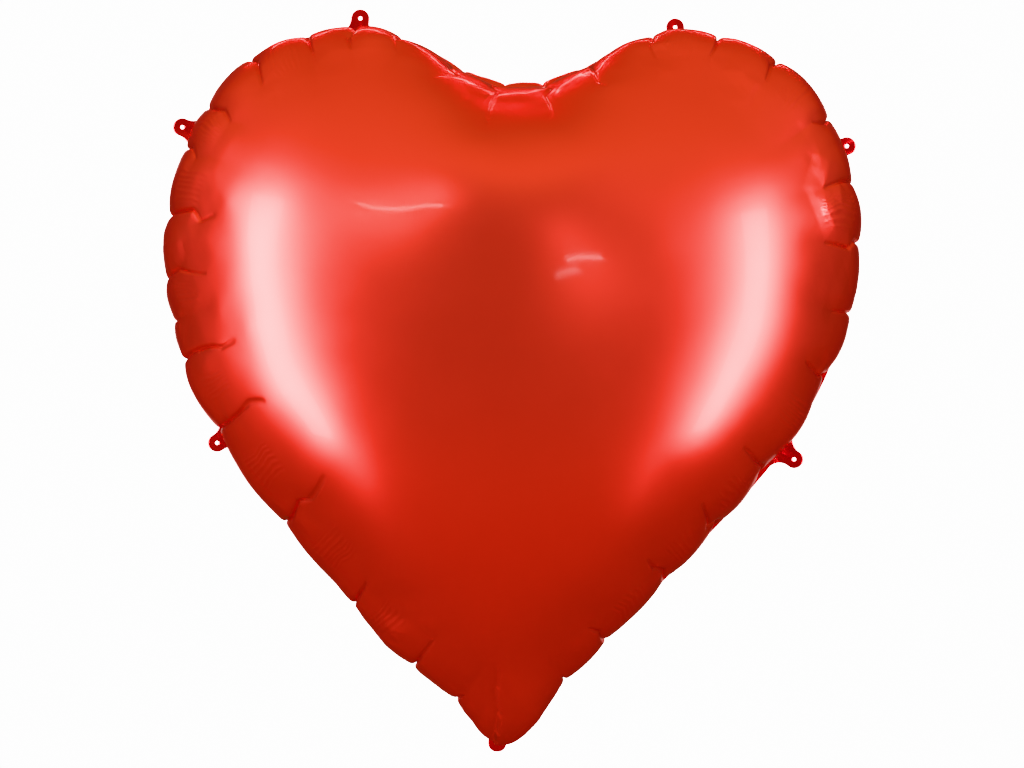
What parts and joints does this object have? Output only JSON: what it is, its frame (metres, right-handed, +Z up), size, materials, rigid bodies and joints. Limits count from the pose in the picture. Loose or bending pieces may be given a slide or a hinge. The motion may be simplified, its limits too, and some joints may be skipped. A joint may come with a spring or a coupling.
{
  "type": "heart-shaped foil balloon",
  "caption": "Blown-up heart-shaped balloon of metallised film: two panels sealed round a crinkled seam, with punched hanging tabs, a filling tail and a flat self-sealing valve.",
  "frame": {"origin": "end of the filling tail, in the seam plane, on the heart's centre line; it is the centre of the bounding box's lowest face", "axes": "+Z up from the tip to the cleft, +X across the heart to the viewer's right, +Y from the front panel to the back panel; the seam lies in Y = 0 and the front faces -Y"},
  "size_m": [0.6866, 0.372, 0.7424],
  "materials": {
    "red_film": "satin metallic red film",
    "seam_film": "darker red, two plies heat-sealed flat",
    "valve_film": "thin milky film"
  },
  "bodies": {
    "envelope": {"front_panel": "red_film", "back_panel": "red_film", "valve_front_ply": "valve_film"},
    "tail": {"tail_front_ply": "seam_film", "tail_back_ply": "seam_film"},
    "valve_flap": {"valve_back_ply": "valve_film"},
    "top_left_tab": {"tab_top_left": "seam_film"},
    "top_right_tab": {"tab_top_right": "seam_film"},
    "upper_left_tab": {"tab_upper_left": "seam_film"},
    "upper_right_tab": {"tab_upper_right": "seam_film"},
    "lower_left_tab": {"tab_lower_left": "seam_film"},
    "lower_right_tab": {"tab_lower_right": "seam_film"}
  },
  "joints": [
    {"name": "top_left_tab_fold", "type": "hinge", "parent": "envelope", "child": "top_left_tab", "pos_m": [-0.15939, 0, 0.72341], "axis": [0.9955, 0, -0.0952], "range_deg": [-60, 60], "stiffness_Nm_per_rad": 0.00005},
    {"name": "top_right_tab_fold", "type": "hinge", "parent": "envelope", "child": "top_right_tab", "pos_m": [0.15939, 0, 0.72341], "axis": [0.9955, 0, 0.0952], "range_deg": [-60, 60], "stiffness_Nm_per_rad": 0.00005},
    {"name": "upper_left_tab_fold", "type": "hinge", "parent": "envelope", "child": "upper_left_tab", "pos_m": [-0.32502, 0, 0.6152], "axis": [0.359, 0, 0.9334], "range_deg": [-60, 60], "stiffness_Nm_per_rad": 0.00005},
    {"name": "upper_right_tab_fold", "type": "hinge", "parent": "envelope", "child": "upper_right_tab", "pos_m": [0.32502, 0, 0.6152], "axis": [0.359, 0, -0.9334], "range_deg": [-60, 60], "stiffness_Nm_per_rad": 0.00005},
    {"name": "lower_left_tab_fold", "type": "hinge", "parent": "envelope", "child": "lower_left_tab", "pos_m": [-0.28199, 0, 0.3081], "axis": [-0.573, 0, 0.8196], "range_deg": [-60, 60], "stiffness_Nm_per_rad": 0.00005},
    {"name": "lower_right_tab_fold", "type": "hinge", "parent": "envelope", "child": "lower_right_tab", "pos_m": [0.28199, 0, 0.3081], "axis": [-0.573, 0, -0.8196], "range_deg": [-60, 60], "stiffness_Nm_per_rad": 0.00005},
    {"name": "tail_fold", "type": "hinge", "parent": "envelope", "child": "tail", "pos_m": [0, 0, 0.026], "axis": [1, 0, 0], "range_deg": [-60, 60], "stiffness_Nm_per_rad": 0.00005},
    {"name": "valve_opening", "type": "hinge", "parent": "envelope", "child": "valve_flap", "pos_m": [0, 0.00015, 0.0266], "axis": [-1, 0, 0], "range_deg": [0, 8], "stiffness_Nm_per_rad": 0.0002}
  ]
}
